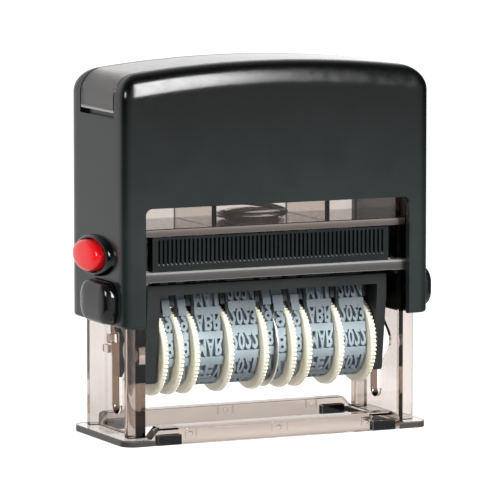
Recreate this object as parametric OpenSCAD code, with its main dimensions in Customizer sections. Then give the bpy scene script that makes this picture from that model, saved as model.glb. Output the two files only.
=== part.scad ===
// Self-inking date stamp with nine date bands, as an assembly.
// Millimetres, Z up, front towards -Y, origin under the middle of the foot.

/* [Cap] */
// outside width of the cap
cap_w = 63.5; // [63:0.1:64]
// outside depth of the cap
cap_d = 26; // [25.8:0.1:27]
// height of the crown above the table
cap_top = 71.4; // [71:0.1:73]
// underside of the cap's legs at rest
cap_bottom = 22.2; // [22:0.1:22.8]
// thickness of the cap's upright walls
cap_wall = 1.5; // [1.3:0.1:1.6]
// thickness of the cap's top
cap_roof = 2.7; // [2.4:0.1:2.9]
// radius of the crown's arch, seen from the front
arch_r = 230; // [210:5:260]
// radius of the rolled edge along the front and back of the top
roll_r = 4.8; // [4.4:0.1:5.2]
// radius of the rolled edge over the two ends of the top
end_r = 4.8; // [4.4:0.1:5.2]
// radius of the cap's upright corners
corner_r = 2.3; // [1.8:0.1:2.8]
// half the width of the front and back windows
window_x = 27.4; // [27.2:0.1:27.8]
// top edge of the front and back windows
window_top = 44.7; // [44:0.1:45.5]
// radius of the windows' upper corners
window_r = 1.3; // [1:0.1:1.6]

/* [Index window] */
// width of the clear index window along Y
index_w = 16; // [15:0.1:16.5]
// thickness of the clear index window
index_t = 0.8; // [0.7:0.05:0.9]
// how far the index window reaches down the cap's sides from the crown
index_drop = 9.1; // [8.4:0.1:9.9]
// space under the index window for a paper card
index_gap = 0.3; // [0.3:0.05:0.4]

/* [Buttons] */
// how far the buttons stand out of the cap's sides
button_out = 2.7; // [2.4:0.1:2.9]
// travel of every button
button_travel = 1.2; // [1:0.05:1.25]
// length of the lock button along Y
lock_len = 12.2; // [11.8:0.1:12.4]
// height of the lock button
lock_h = 6; // [5.8:0.1:6.1]
// middle of the lock button along Y
lock_y = 0.4; // [0.3:0.1:0.5]
// height of the lock button's middle
lock_z = 35; // [35:0.1:35.2]
// how far the collar round the lock button stands out
collar_out = 1.2; // [1:0.1:1.3]
// width of the collar round the lock button
collar_t = 0.9; // [0.8:0.1:1]
// length of the side buttons along Y
side_len = 13; // [12.6:0.1:13.2]
// height of the side buttons
side_h = 7.9; // [7.7:0.1:8.2]
// middle of the side buttons along Y
side_y = -3.2; // [-3.3:0.1:-2.8]
// height of the side buttons' middle
side_z = 26.6; // [26.6:0.1:26.8]
// corner radius of the side buttons
side_r = 3.2; // [2.8:0.1:3.3]
// place of the side buttons' stem along Y
stem_y = -5.5; // [-5.6:0.1:-5.2]

/* [Frame] */
// width of one tower, from web to the edges of its posts
tower_w = 3.4; // [3.3:0.05:3.45]
// thickness of a tower's web
web_t = 1.5; // [1.3:0.05:1.5]
// depth of a tower
tower_d = 20.8; // [20.6:0.1:21]
// thickness of a tower's posts along Y
post_t = 2; // [1.8:0.1:2.1]
// underside of the shelf that carries the ink pad
shelf_low = 30.6; // [30.5:0.05:30.8]
// top of the shelf that carries the ink pad
shelf_top = 32.3; // [32.25:0.01:32.32]
// underside of the roof over the ink pad
roof_low = 39; // [38.9:0.05:39.2]
// top of the roof over the ink pad, where the spring stands
roof_top = 40.4; // [40.2:0.05:40.6]
// top of the frame
frame_top = 46; // [45.5:0.1:46.4]
// place of the two cross walls along X
cross_x = 11.8; // [11.4:0.1:12.2]

/* [Foot] */
// width of the foot plate
foot_w = 63.4; // [63:0.1:64]
// depth of the foot plate
foot_d = 25.8; // [25.6:0.1:26]
// thickness of the foot plate
foot_t = 1.3; // [1.2:0.05:1.4]
// corner radius of the foot plate
foot_r = 2.5; // [2:0.1:3]
// height of the front and back rails
rail_h = 3.4; // [3.2:0.1:3.6]
// depth of a rail along Y
rail_d = 3.3; // [3.1:0.1:3.4]
// half the length of a rail along its top
rail_top_x = 24.5; // [24.4:0.1:25]
// half the length of a rail at the plate
rail_x = 26.4; // [26:0.1:26.45]
// length of a rubber foot
pad_len = 4.8; // [4.4:0.1:5]
// middle of the rubber feet along X
pad_x = 22.4; // [22:0.1:22.5]
// height of a rubber foot
pad_h = 1.9; // [1.7:0.1:2]

/* [Mechanism] */
// height of the carrier's pivot at rest
pivot_z = 26; // [25.98:0.01:26.04]
// travel of the cap
stroke = 19.6; // [19.5:0.05:19.62]
// distance from the pivot to the printing face
face_h = 6.35; // [6.3:0.01:6.38]
// radius of the carrier's trunnions
trunnion_r = 1.6; // [1.55:0.01:1.65]
// distance of the guide pin from the pivot
guide_off = 4.6; // [4.5:0.05:4.7]
// radius of the guide pins
guide_r = 1.3; // [1.2:0.02:1.34]
// room round the trunnions and guide pins in the slots
slot_gap = 0.25; // [0.2:0.01:0.3]
// radial clearance of every running fit
fit = 0.05; // [0.04:0.01:0.08]

/* [Carrier] */
// thickness of the carrier's side plates
plate_t = 2.05; // [1.9:0.05:2.1]
// extra thickness of the left side plate towards the wheels
plate_more = 0.6; // [0.5:0.02:0.62]
// lower end of the side plates
plate_low = 10.7; // [10.6:0.1:11.4]
// half the depth of the side plates at the top
plate_y = 8; // [7.8:0.05:8]
// half the depth of the side plates at the lower end
plate_low_y = 6.2; // [5.6:0.1:6.3]
// top of the carrier above the pivot
plate_top = 3.6; // [3.4:0.05:3.6]
// height of the bars of the carrier
bar_h = 2; // [1.8:0.05:2.1]
// depth of the bars of the carrier
bar_d = 1.5; // [1.4:0.05:1.6]
// half the depth of the print bridge
bridge_y = 2.5; // [2.4:0.05:2.6]
// distance of the wheel axle below the pivot
axle_off = 9.9; // [9.8:0.05:10]
// radius of the wheel axle
axle_r = 1.5; // [1.4:0.02:1.6]

/* [Date bands and wheels] */
// room along the axle for a one-digit band and its wheel
digit_unit = 3.25; // [3.22:0.01:3.26]
// room along the axle for the left date's month band and its wheel
month_unit_left = 7.1; // [7.05:0.01:7.12]
// room along the axle for the left date's year band and its wheel
year_unit_left = 7.3; // [7.25:0.01:7.32]
// room along the axle for the right date's month band and its wheel
month_unit_right = 6.75; // [6.7:0.01:6.77]
// room along the axle for the right date's year band and its wheel
year_unit_right = 6.85; // [6.8:0.01:6.87]
// extra width of the band beside the steel disc
disc_room = 0.5; // [0.4:0.02:0.52]
// how far the wheels' stack stands right of the middle
stack_shift = 0.4; // [0.3:0.02:0.42]
// thickness of the steel disc between the two dates
disc_t = 0.3; // [0.25:0.01:0.35]
// radius of the steel disc
disc_r = 8; // [7.8:0.1:8.1]
// radius of a thumbwheel's toothed rim
wheel_r = 8.4; // [8.2:0.05:8.5]
// depth of the rim's teeth
tooth_h = 0.45; // [0.35:0.01:0.5]
// teeth round a rim
teeth = 62; // [56:1:68]
// thickness of a rim
rim_t = 1.3; // [1.2:0.05:1.35]
// room between neighbours along the axle
unit_gap = 0.16; // [0.12:0.01:0.2]
// radius of the drum that a band runs on
drum_r = 5.05; // [4.95:0.02:5.09]
// inside radius of a band round its drum
belt_r = 5.25; // [5.23:0.01:5.35]
// thickness of a band without its characters
belt_t = 1; // [0.9:0.05:1.05]
// height of the characters' blocks above a band
block_h = 0.6; // [0.5:0.02:0.64]
// length of a character block along its band
block_len = 3.5; // [3.2:0.05:3.6]
// character blocks round a band
blocks = 12; // [11:1:12]
// thickness of the comb's fins, which keep the bands apart above the wheels
fin_t = 1; // [0.9:0.05:1.1]

/* [Ink pad] */
// half the width of the ink pad's tray
tray_x = 24.6; // [24.4:0.05:24.7]
// wall of the ink pad's tray
tray_wall = 1.2; // [1:0.1:1.3]
// place of the tray's front face along Y
tray_front = -9.6; // [-9.8:0.05:-9.4]
// place of the tray's back along Y
tray_back = 10.2; // [10:0.05:10.3]
// top of the tray
tray_top = 38.8; // [38.6:0.05:38.82]
// grooves in the grip at the front of the tray
grip_count = 54; // [46:1:56]
// depth of the grip's grooves
grip_deep = 0.5; // [0.4:0.02:0.54]
// height of the plain band under the grip
grip_low = 1.3; // [1.1:0.05:1.4]
// room between the printing face and the felt
felt_gap = 0.15; // [0.1:0.01:0.17]

/* [Spring] */
// radius of the spring's coil, to the middle of the wire
coil_r = 6.5; // [6.3:0.1:6.6]
// thickness of the spring's wire
wire_d = 1; // [0.9:0.05:1.1]
// turns of the spring
turns = 8; // [7:1:9]
// space between the spring and its seats
spring_gap = 0.05; // [0.05:0.01:0.1]

/* [Hidden] */
$fn = 64;
far = 200;
eps = 0.01;
over = 1;
arch_fn = 720;
roll_fn = 360;
corner_steps = 5;
drum_steps = 30;
side_x = cap_w / 2;
side_in = side_x - cap_wall;
upper_step = 1.25;
upper_in = side_in - upper_step;
upper_drop = 11.4;
upper_z = cap_top - upper_drop;
index_low = cap_top - index_drop;
index_room = 0.1;
arch_z = cap_top - arch_r;
ceiling = cap_top - cap_roof;
post_gap = 0.35;
post_out = side_in - post_gap;
web_in = post_out - tower_w;
web_out = web_in + web_t;
post_in_y = tower_d / 2 - post_t;
tower_r = post_t / 2;
slide_gap = 0.3;
shoe_in = web_out + slide_gap;
shoe_y = post_in_y - slide_gap;
shoe_top = 31.2;
shelf_y = 11.1;
shelf_in_y = 8.6;
shelf_x = 29;
shelf_r = 2;
lip_h = 1.7;
wall_gap = 0.3;
guide_wall_t = 0.8;
panel_y = 9.9;
panel_t = 1.1;
cross_t = 1;
boss_r = 5.2;
boss_h = 1.8;
print_z = pivot_z + face_h;
felt_low = print_z + felt_gap;
bar_y = plate_y;
axle_z = pivot_z - axle_off;
guide_z = pivot_z - guide_off;
trunnion_deep = 1.3;
trunnion_end = shoe_in + trunnion_deep;
end_gap = 0.12;
trunnion_floor = trunnion_end + end_gap;
pin_back = 0.1;
guide_end = web_out - pin_back;
slot_half = trunnion_r + slot_gap;
slot_bottom = pivot_z - stroke - slot_half;
slot_top = pivot_z + slot_half + slide_gap;
wedge_low = 16;
wedge_top = 17.4;
wedge_out = 0.8;
wedge_y0 = 2.2;
wedge_y1 = 4.5;
peep_rise = 0.3;
peep_h = 1.7;
peep_y0 = 2.9;
wedge_room = 0.35;
lock_room = 0.15;
press_gap = 0.25;
flange_gap = 0.1;
lock_bar_in = web_out + press_gap + button_travel;
lock_bar_out = side_in - flange_gap;
lock_bar_low = 33;
catch_gap = 0.3;
lock_bar_top = wedge_low + stroke - catch_gap;
flange = 1;
lock_bar_y0 = lock_y - lock_len / 2 - flange;
lock_bar_y1 = lock_y + lock_len / 2 + flange;
button_room = 0.15;
button_root = 0.3;
button_in = side_x - button_root;
pocket_gap = 0.1;
pocket_floor = button_in - button_travel - pocket_gap;
button_edge = 1.1;
stem_r = 1.5;
stem_past = 0.4;
stem_tip = pocket_floor - stem_past;
wheel_bore = axle_r + fit;
left_units = [digit_unit, digit_unit, month_unit_left, year_unit_left, digit_unit];
right_units = [digit_unit + disc_room, digit_unit, month_unit_right, year_unit_right];
units = concat(left_units, right_units);
left_count = len(left_units);
left_w = sum(left_units, left_count);
right_w = sum(right_units, len(right_units));
stack_w = left_w + disc_t + right_w;
stack_x = stack_shift - stack_w / 2;
plate_gap = 0.45;
plate_in = stack_w / 2 + plate_gap;
plate_out = plate_in + plate_t;
clip_t = 0.4;
clip_r = 2.7;
axle_past = 0.2;
axle_end = plate_out + clip_t + axle_past;
top_corner_r = 0.8;
top_cy = bridge_y - top_corner_r;
bridge_top = pivot_z + face_h - block_h - belt_t;
top_cz = bridge_top - top_corner_r;
lean = atan2(top_cz - axle_z, top_cy);
reach = sqrt(pow(top_cz - axle_z, 2) + pow(top_cy, 2));
belt_turn = lean - acos((belt_r - top_corner_r) / reach);
belt_out_r = belt_r + belt_t;
top_out_r = top_corner_r + belt_t;
run_len = sqrt(reach * reach - pow(belt_r - top_corner_r, 2));
top_arc = top_out_r * (90 - belt_turn) * PI / 180;
low_arc = belt_out_r * (90 + belt_turn) * PI / 180;
half_loop = top_cy + top_arc + run_len + low_arc;
block_pitch = 2 * half_loop / blocks;
block_edge = 0.2;
block_deep = 0.6;
bridge_foot_y = 2.1;
bridge_rise = 0.5;
bridge_low = pivot_z + bridge_rise;
bridge_gap = 0.05;
bridge_corner_r = top_corner_r - bridge_gap;
fin_in = 0.3;
fin_gap = 0.4;
fin_low = axle_z + wheel_r + fin_gap;
cheek_h = 4;
nose = 0.4;
tray_in_x = tray_x - tray_wall;
tray_face = tray_front + grip_deep;
tray_in_y0 = tray_face + tray_wall;
tray_in_y1 = tray_back - tray_wall;
tray_in_top = tray_top - tray_wall;
grip_end = 0.9;
grip_pitch = 2 * (tray_x - grip_end) / grip_count;
grip_high = 0.45;
grip_top = tray_top - grip_high;
tray_stop = 0.2;
notch_h = 0.4;
pad_edge_in = 0.3;
pad_edge_out = 0.5;
pad_y0 = foot_d / 2 - rail_d + pad_edge_in;
pad_y1 = foot_d / 2 - pad_edge_out;
ring_lip = 0.9;
ring_x = web_in - ring_lip;
rail_in = foot_d / 2 - rail_d;
bevel_y = 0.7;
bevel_z = 0.5;
bevel_past = over * bevel_z / bevel_y;
mark_deep = 0.15;
mark_w = 0.25;
mark_low = 0.4;
dimple_z = 2;
dimple_r = 0.5;
mark_side = 18.4;
mark_mid = 1.6;
mark_end = 1.1;
spring_low = roof_top + spring_gap;
spring_high = ceiling - spring_gap;
wire_sides = 6;
wire_rings = 8;
spring_steps = turns * wire_rings;
spring_rise = spring_high - spring_low - wire_d;
hang_h = 2;

clear_smoke = [0.45, 0.4, 0.37, 0.5];
clear_index = [0.75, 0.75, 0.76, 0.4];
black = [0.07, 0.075, 0.08];
gloss_black = [0.02, 0.02, 0.022];
red = [0.85, 0.03, 0.05];
charcoal = [0.1, 0.105, 0.11];
steel = [0.7, 0.7, 0.7];
ivory = [0.9, 0.88, 0.78];
band_grey = [0.5, 0.57, 0.63];
felt_grey = [0.06, 0.06, 0.09];
rubber = [0.05, 0.05, 0.05];

function sum(list, n) = n == 0 ? 0 : list[n - 1] + sum(list, n - 1);
// left edge of a band's place along the axle; places 5 to 8 stand right of the steel disc
function unit_x(i) = stack_x + sum(units, i) + (i < left_count ? 0 : disc_t);
function rim_x(i) = i < left_count ? unit_x(i) + unit_gap / 2 : unit_x(i) + units[i] - unit_gap / 2 - rim_t;
function band_x(i) = i < left_count ? unit_x(i) + rim_t + unit_gap : unit_x(i) + unit_gap / 2;
function band_w(i) = units[i] - rim_t - 1.5 * unit_gap;
// one arc of a polygon, counted in even steps
function arc(cy, cz, r, a0, a1, n) =
    [for (k = [0 : n]) [cy + r * cos(a0 + (a1 - a0) * k / n), cz + r * sin(a0 + (a1 - a0) * k / n)]];
// the closed line of a band, at a distance from its inner face
function loop(grow) = concat(
    arc(top_cy, top_cz, top_corner_r + grow, 90, belt_turn, corner_steps),
    arc(0, axle_z, belt_r + grow, belt_turn, -180 - belt_turn, drum_steps),
    arc(-top_cy, top_cz, top_corner_r + grow, 180 - belt_turn, 90, corner_steps));
// place and direction on the back half of a band's outer face, from the top
function half_spot(s) =
    s < top_cy ? [s, bridge_top + belt_t, 90] :
    s < top_cy + top_arc ? arc_spot(top_cy, top_cz, top_out_r, 90 - (s - top_cy) / top_out_r * 180 / PI) :
    s < top_cy + top_arc + run_len ? run_spot(s - top_cy - top_arc) :
    arc_spot(0, axle_z, belt_out_r,
        belt_turn - (s - top_cy - top_arc - run_len) / belt_out_r * 180 / PI);
function arc_spot(cy, cz, r, a) = [cy + r * cos(a), cz + r * sin(a), a];
function run_spot(t) = [
    top_cy + top_out_r * cos(belt_turn) + t * sin(belt_turn),
    top_cz + top_out_r * sin(belt_turn) - t * cos(belt_turn),
    belt_turn];
function spot(s) = s <= half_loop ? half_spot(s) : flip_spot(half_spot(2 * half_loop - s));
function flip_spot(p) = [-p[0], p[1], 180 - p[2]];
// path of the guide pin in the tower, and its outline towards the front
function pin_y(a) = -guide_off * sin(a);
function pin_z(a) = pivot_z - stroke * a / 180 - guide_off * cos(a);
function pin_ty(a) = -guide_off * cos(a);
function pin_tz(a) = -stroke / PI + guide_off * sin(a);
function pin_out(a, r) = [
    pin_y(a) + r * pin_tz(a) / norm([pin_ty(a), pin_tz(a)]),
    pin_z(a) - r * pin_ty(a) / norm([pin_ty(a), pin_tz(a)])];
// the spring's wire
function coil_mid(k) = [
    coil_r * cos(360 * k / wire_rings),
    coil_r * sin(360 * k / wire_rings),
    spring_low + wire_d / 2 + spring_rise * k / spring_steps];
function coil_point(k, j) = coil_mid(k) + wire_d / 2 * [
    cos(360 * j / wire_sides) * cos(360 * k / wire_rings),
    cos(360 * j / wire_sides) * sin(360 * k / wire_rings),
    sin(360 * j / wire_sides)];

// a box from its low corner to its high corner
module span(x0, x1, y0, y1, z0, z1) {
    translate([x0, y0, z0])
        cube([x1 - x0, y1 - y0, z1 - z0]);
}

// a bar along X with a profile drawn in Y and Z
module along_x(x0, x1) {
    translate([x0, 0, 0])
        rotate([90, 0, 90])
            linear_extrude(x1 - x0)
                children();
}

// a slab along Y with a profile drawn in X and Z
module along_y(y0, y1) {
    translate([0, y1, 0])
        rotate([90, 0, 0])
            linear_extrude(y1 - y0)
                children();
}

// a round bar along X
module rod_x(x0, x1, y, z, r) {
    translate([x0, y, z])
        rotate([0, 90, 0])
            cylinder(h = x1 - x0, r = r);
}

// a flat rounded rectangle
module round_rect(w, d, r) {
    square([w - 2 * r, d], center = true);
    square([w, d - 2 * r], center = true);
    for (sx = [-1, 1])
        for (sy = [-1, 1])
            translate([sx * (w / 2 - r), sy * (d / 2 - r)])
                circle(r);
}

// the arched section of the cap, with its rolled edges, before it is turned
module roll_profile(iy, iz) {
    rr = roll_r - iy;
    ro = arch_r - iz;
    hd = cap_d / 2 - iy;
    low = arch_r - cap_top;
    translate([low, -hd])
        square([ro - rr - low, 2 * hd]);
    translate([low, rr - hd])
        square([ro - low, 2 * (hd - rr)]);
    for (s = [-1, 1])
        translate([ro - rr, s * (hd - rr)])
            circle(rr);
}

// the front outline of the cap without its arch
module end_profile(ix, iz) {
    er = end_r - ix;
    ro = arch_r - iz;
    cx = side_x - ix - er;
    cz = sqrt(pow(ro - er, 2) - cx * cx) + arch_z;
    tx = cx * ro / (ro - er);
    translate([-tx, -over])
        square([2 * tx, cap_top + 2 * over]);
    translate([ix - side_x, -over])
        square([2 * (side_x - ix), cz + over]);
    for (s = [-1, 1])
        translate([s * cx, cz])
            circle(er);
}

// the front outline of the cap with its arch, made smaller all round
module front_profile(inset) {
    intersection() {
        end_profile(inset, inset);
        translate([0, arch_z])
            circle(arch_r - inset, $fn = arch_fn);
    }
}

// the cap as a full block, made smaller by an amount along each axis
module cap_form(ix, iy, iz) {
    half = 14;
    intersection() {
        translate([0, 0, arch_z])
            rotate([90, 0, 0])
                rotate([0, 0, 90 - half])
                    rotate_extrude(angle = 2 * half, $fn = roll_fn)
                        roll_profile(iy, iz);
        along_y(-cap_d, cap_d)
            end_profile(ix, iz);
        translate([0, 0, -over])
            linear_extrude(cap_top + 2 * over)
                round_rect(cap_w - 2 * ix, cap_d - 2 * iy, corner_r - iy);
    }
}

// a stadium along Y, from one X to another
module oval_x(x0, x1, y, z, len, h) {
    half = len / 2 - h / 2;
    rod_x(x0, x1, y - half, z, h / 2);
    rod_x(x0, x1, y + half, z, h / 2);
    span(x0, x1, y - half, y + half, z - h / 2, z + h / 2);
}

// a rounded rectangle along X
module tile_x(x0, x1, y, z, len, h, r) {
    span(x0, x1, y - len / 2 + r, y + len / 2 - r, z - h / 2, z + h / 2);
    span(x0, x1, y - len / 2, y + len / 2, z - h / 2 + r, z + h / 2 - r);
    for (sy = [-1, 1])
        for (sz = [-1, 1])
            rod_x(x0, x1, y + sy * (len / 2 - r), z + sz * (h / 2 - r), r);
}

// one guide shoe inside a leg of the cap, on the right
module shoe() {
    span(shoe_in, side_in + eps, -shoe_y, shoe_y, cap_bottom, shoe_top);
}

// what is cut out of one leg and shoe, on the right
module shoe_cuts() {
    rod_x(shoe_in - over, trunnion_floor, 0, pivot_z, trunnion_r + fit);
    tile_x(pocket_floor, side_x + over, side_y, side_z,
        side_len + 2 * button_room, side_h + 2 * button_room, side_r + button_room);
    rod_x(shoe_in - over, side_x, stem_y, side_z, stem_r + fit);
    span(shoe_in - over, web_out + wedge_out + slide_gap, wedge_y0 - wedge_room, wedge_y1 + wedge_room,
        cap_bottom - over, shoe_top + over);
}

// the two openings between the cap's legs
module cap_windows() {
    along_y(-cap_d, cap_d) {
        translate([-window_x, 0])
            square([2 * window_x, window_top - window_r]);
        translate([window_r - window_x, 0])
            square([2 * (window_x - window_r), window_top]);
        for (s = [-1, 1])
            translate([s * (window_x - window_r), window_top - window_r])
                circle(window_r);
    }
}

module cap_shell() {
    color(black)
        difference() {
            union() {
                difference() {
                    intersection() {
                        cap_form(0, 0, 0);
                        span(-far, far, -far, far, cap_bottom, far);
                    }
                    intersection() {
                        cap_form(cap_wall, cap_wall, cap_roof);
                        union() {
                            span(-far, far, -far, far, -over, upper_z);
                            span(-upper_in, upper_in, -far, far, upper_z - over, far);
                        }
                    }
                }
                shoe();
                mirror([1, 0, 0])
                    shoe();
                translate([0, 0, ceiling - hang_h])
                    cylinder(h = hang_h + over, r = boss_r);
                oval_x(-side_x - collar_out, -side_x + over, lock_y, lock_z,
                    lock_len + 2 * (lock_room + collar_t), lock_h + 2 * (lock_room + collar_t));
            }
            cap_windows();
            shoe_cuts();
            mirror([1, 0, 0])
                shoe_cuts();
            oval_x(-side_x - collar_out - over, -side_in + over, lock_y, lock_z,
                lock_len + 2 * lock_room, lock_h + 2 * lock_room);
            difference() {
                span(-far, far, -index_w / 2, index_w / 2, index_low, far);
                along_y(-cap_d, cap_d)
                    front_profile(index_t + index_gap);
            }
        }
}

module index_window() {
    half = index_w / 2 - index_room;
    color(clear_index)
        difference() {
            intersection() {
                along_y(-half, half)
                    front_profile(0);
                span(-far, far, -far, far, index_low, far);
            }
            along_y(-half - over, half + over)
                front_profile(index_t);
        }
}

// half profile of a button's edge: how far out, how far from its middle
module edge_profile(half, out) {
    square([half, out - button_edge]);
    square([half - button_edge, out]);
    translate([half - button_edge, out - button_edge])
        intersection() {
            circle(button_edge);
            square(button_edge);
        }
}

module lock_button() {
    half = lock_len / 2 - lock_h / 2;
    out = button_out + side_x - lock_bar_out + eps;
    color(red)
        union() {
            translate([eps - lock_bar_out, lock_y, lock_z])
                rotate([0, -90, 0]) {
                    for (s = [-1, 1])
                        translate([0, s * half, 0])
                            rotate_extrude()
                                edge_profile(lock_h / 2, out);
                    rotate([90, 0, 0])
                        linear_extrude(2 * half, center = true) {
                            edge_profile(lock_h / 2, out);
                            mirror([1, 0])
                                edge_profile(lock_h / 2, out);
                        }
                }
            span(-lock_bar_out, -lock_bar_in, lock_bar_y0, lock_bar_y1, lock_bar_low, lock_bar_top);
        }
}

// one side button, on the right
module side_button() {
    y0 = side_y - side_len / 2 + side_r;
    y1 = side_y + side_len / 2 - side_r;
    z0 = side_z - side_h / 2 + side_r;
    z1 = side_z + side_h / 2 - side_r;
    out = side_x + button_out - button_in;
    color(gloss_black)
        union() {
            for (y = [y0, y1])
                for (z = [z0, z1])
                    translate([button_in, y, z])
                        rotate([0, 90, 0])
                            rotate_extrude()
                                edge_profile(side_r, out);
            translate([button_in, side_y, 0])
                rotate([90, 0, 0])
                    linear_extrude(y1 - y0, center = true)
                        side_section(z0, z1, out);
            translate([button_in, 0, side_z])
                linear_extrude(z1 - z0, center = true)
                    side_section(y0, y1, out);
            rod_x(stem_tip, button_in + eps, stem_y, side_z, stem_r);
        }
}

// a side button's section: how far out, and along the other axis
module side_section(low, high, out) {
    translate([0, low])
        square([out, high - low]);
    translate([0, high])
        mirror([1, -1])
            edge_profile(side_r, out);
    translate([0, low])
        mirror([0, 1])
            mirror([1, -1])
                edge_profile(side_r, out);
}

module side_button_left() {
    mirror([1, 0, 0])
        side_button();
}

module side_button_right() {
    side_button();
}

// one rail at the front
module rail() {
    difference() {
        along_y(-foot_d / 2, -rail_in)
            polygon([[-rail_x, 0], [rail_x, 0], [rail_x, foot_t],
                [rail_top_x, rail_h], [-rail_top_x, rail_h], [-rail_x, foot_t]]);
        along_x(-far, far)
            polygon([[-foot_d / 2 - over, rail_h - bevel_z - bevel_past],
                [-foot_d / 2 + bevel_y + over, rail_h + bevel_past],
                [-foot_d / 2 - over, rail_h + bevel_past]]);
        for (x = [-mark_side - mark_end, -mark_side + mark_end, -mark_mid, mark_mid,
                mark_side - mark_end, mark_side + mark_end])
            span(x - mark_w / 2, x + mark_w / 2, -far, mark_deep - foot_d / 2, mark_low, rail_h);
        for (x = [-mark_side, 0, mark_side])
            translate([x, mark_deep - foot_d / 2, dimple_z])
                rotate([90, 0, 0])
                    cylinder(h = over, r = dimple_r);
    }
}

// one rubber foot in front on the right
module rubber_foot() {
    color(rubber)
        span(pad_x - pad_len / 2, pad_x + pad_len / 2, -pad_y1, -pad_y0, 0, pad_h);
}

module rubber_foot_1() {
    mirror([1, 0, 0])
        rubber_foot();
}

module rubber_foot_2() {
    rubber_foot();
}

module rubber_foot_3() {
    mirror([1, 0, 0])
        mirror([0, 1, 0])
            rubber_foot();
}

module rubber_foot_4() {
    mirror([0, 1, 0])
        rubber_foot();
}

module foot_frame() {
    color(clear_smoke)
        difference() {
            union() {
                difference() {
                    linear_extrude(foot_t)
                        round_rect(foot_w, foot_d, foot_r);
                    span(-ring_x, ring_x, -rail_in, rail_in, -over, foot_t + over);
                }
                rail();
                mirror([0, 1, 0])
                    rail();
            }
            for (sx = [-1, 1])
                for (sy = [-1, 1])
                    scale([sx, sy, 1])
                        span(pad_x - pad_len / 2, pad_x + pad_len / 2, pad_y0, pad_y1, -over, pad_h);
        }
}

// one tower with its posts, on the right
module tower() {
    span(web_in, web_out, -post_in_y - eps, post_in_y + eps, foot_t, frame_top);
    for (s = [-1, 1])
        scale([1, s, 1]) {
            span(web_in, post_out - tower_r, post_in_y, tower_d / 2, foot_t, roof_low);
            span(web_in, post_out, post_in_y, tower_d / 2 - tower_r, foot_t, roof_low);
            translate([post_out - tower_r, tower_d / 2 - tower_r, foot_t])
                cylinder(h = roof_low - foot_t, r = tower_r);
        }
}

// the slot that guides a trunnion and a guide pin, drawn in Y and Z
module slot_profile() {
    reach_r = guide_r + slot_gap;
    translate([-slot_half, slot_bottom + slot_half])
        square([2 * slot_half, slot_top - slot_bottom - 2 * slot_half]);
    for (z = [slot_bottom + slot_half, slot_top - slot_half])
        translate([0, z])
            circle(slot_half);
    polygon(concat([[0, pin_z(0)]], [for (a = [0 : 10 : 180]) pin_out(a, reach_r)], [[0, pin_z(180)]]));
}

// one shelf beam at the front, with its rounded ends
module shelf() {
    span(-shelf_x, shelf_x, -shelf_y, -shelf_in_y, shelf_low, shelf_top);
    for (s = [-1, 1])
        scale([s, 1, 1])
            difference() {
                span(web_in - shelf_r, web_in + eps, -tower_d / 2, -shelf_in_y,
                    shelf_low - shelf_r, shelf_low + eps);
                translate([web_in - shelf_r, 0, shelf_low - shelf_r])
                    rotate([90, 0, 0])
                        cylinder(h = far, r = shelf_r);
            }
}

module body_frame() {
    color(clear_smoke)
        difference() {
            union() {
                tower();
                mirror([1, 0, 0])
                    tower();
                shelf();
                mirror([0, 1, 0])
                    shelf();
                span(-web_out, web_out, tray_back + tray_stop, shelf_y, shelf_top - eps, shelf_top + lip_h);
                for (s = [-1, 1])
                    scale([s, 1, 1])
                        span(tray_x + wall_gap, tray_x + wall_gap + guide_wall_t, -post_in_y,
                            tray_back, shelf_top - eps, roof_low + eps);
                span(-web_out, web_out, -panel_y, panel_y, roof_low, roof_top);
                for (s = [-1, 1])
                    scale([1, s, 1])
                        span(-web_out, web_out, panel_y - panel_t, panel_y, roof_top - eps, frame_top);
                for (s = [-1, 1])
                    scale([s, 1, 1])
                        span(cross_x - cross_t / 2, cross_x + cross_t / 2, -panel_y + eps, panel_y - eps,
                            roof_top - eps, frame_top);
                translate([0, 0, roof_top - eps])
                    cylinder(h = boss_h, r = boss_r);
                span(-web_out - wedge_out, -web_out + eps, wedge_y0, wedge_y1, wedge_low, wedge_top);
            }
            along_x(-far, far)
                slot_profile();
            span(-far, -web_in, peep_y0, wedge_y1, wedge_top + peep_rise, wedge_top + peep_rise + peep_h);
        }
}

module ink_pad_tray() {
    color(gloss_black)
        difference() {
            span(-tray_x, tray_x, tray_front, tray_back, shelf_top, tray_top);
            span(-tray_in_x, tray_in_x, tray_in_y0, tray_in_y1, shelf_top - over, tray_in_top);
            span(-tray_in_x, tray_in_x, 0, tray_back + over, shelf_top - over, shelf_top + notch_h);
            for (k = [0 : grip_count - 1])
                translate([grip_end - tray_x + (k + 0.25) * grip_pitch, 0, 0])
                    along_x(0, grip_pitch / 2)
                        groove_profile();
        }
}

// one groove of the grip in Y and Z, with a sloped lower end
module groove_profile() {
    low = shelf_top + grip_low;
    polygon([[tray_front - over, low - over], [tray_face, low + grip_deep], [tray_face, grip_top],
        [tray_front - over, grip_top]]);
}

module ink_pad_felt() {
    color(felt_grey)
        span(-tray_in_x, tray_in_x, tray_in_y0, tray_in_y1, felt_low, tray_in_top);
}

module return_spring() {
    count = spring_steps + 1;
    points = [for (k = [0 : spring_steps]) for (j = [0 : wire_sides - 1]) coil_point(k, j)];
    sides = [for (k = [0 : spring_steps - 1]) for (j = [0 : wire_sides - 1])
        let (m = (j + 1) % wire_sides)
        [k * wire_sides + j, k * wire_sides + m, (k + 1) * wire_sides + m, (k + 1) * wire_sides + j]];
    low_end = [for (j = [0 : wire_sides - 1]) wire_sides - 1 - j];
    high_end = [for (j = [0 : wire_sides - 1]) (count - 1) * wire_sides + j];
    echo(least_gap = spring_rise / turns - wire_d);
    color(steel)
        polyhedron(points = points, faces = concat(sides, [low_end], [high_end]), convexity = 10);
}

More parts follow.
